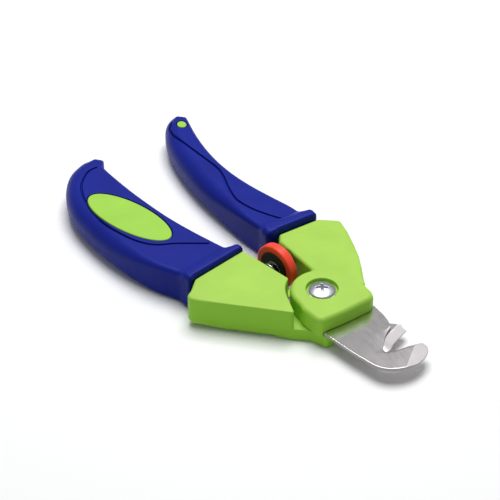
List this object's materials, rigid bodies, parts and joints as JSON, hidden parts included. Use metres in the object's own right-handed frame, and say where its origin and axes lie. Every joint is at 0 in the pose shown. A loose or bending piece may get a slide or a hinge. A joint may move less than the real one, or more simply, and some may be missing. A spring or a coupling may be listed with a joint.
{
  "type": "pet nail trimmer",
  "caption": "Spring-opened pet nail trimmer: two curved grips on crossing levers, a hooked upper blade over a beaked lower blade, and a turning lock ring between the heads.",
  "frame": {"origin": "on the pivot axis, on the plane of the flat underside", "axes": "+X from the handles towards the blade tip, +Z towards the pivot screw's head, the finger lever on the +Y side"},
  "size_m": [0.1429, 0.0682, 0.015],
  "materials": {
    "lime_plastic": "satin moulded plastic",
    "blue_grip": "satin soft-touch rubber",
    "lime_pad": "satin soft pad",
    "blade_steel": "fine ground stainless steel",
    "screw_metal": "bright zinc plating",
    "pin_steel": "plain steel",
    "spring_steel": "bright spring wire",
    "red_ring": "semi-gloss moulded plastic",
    "black_plastic": "matt moulded plastic"
  },
  "bodies": {
    "palm_lever": {"palm_core": "lime_plastic", "palm_grip": "blue_grip", "palm_pad_upper": "lime_pad", "palm_pad_lower": "lime_pad", "cutting_blade": "blade_steel", "cutting_blade_pins": "pin_steel", "pivot_sleeve": "pin_steel", "pivot_screw": "screw_metal", "pivot_washer": "pin_steel", "palm_spring_cup": "lime_plastic", "return_spring": "spring_steel"},
    "finger_lever": {"finger_core": "lime_plastic", "finger_grip": "blue_grip", "finger_tip_inlay_upper": "lime_pad", "finger_tip_inlay_lower": "lime_pad", "hook_blade": "blade_steel", "hook_blade_pins": "pin_steel", "finger_spring_cup": "lime_plastic"},
    "ring_carriage": {"ring_carrier": "black_plastic", "ring_clip": "black_plastic"},
    "lock_ring": {"lock_ring": "red_ring"}
  },
  "joints": [
    {"name": "finger_squeeze", "type": "hinge", "parent": "palm_lever", "child": "finger_lever", "pos_m": [0, 0, 0], "axis": [0, 0, 1], "range_deg": [0, 14], "stiffness_Nm_per_rad": 0.6, "springref_deg": -20.05, "deforming": ["return_spring"]},
    {"name": "carriage_float", "type": "hinge", "parent": "palm_lever", "child": "ring_carriage", "pos_m": [0, 0, 0], "axis": [0, 0, 1], "range_deg": [0, 7]},
    {"name": "ring_turn", "type": "hinge", "parent": "ring_carriage", "child": "lock_ring", "pos_m": [-0.0199, -0.0029, 0.0076], "axis": [-0.2079, 0.9781, 0], "range_deg": [0, 90]}
  ],
  "couplings": [
    {"joint": "carriage_float", "follows": "finger_squeeze", "ratio": 0.5}
  ]
}
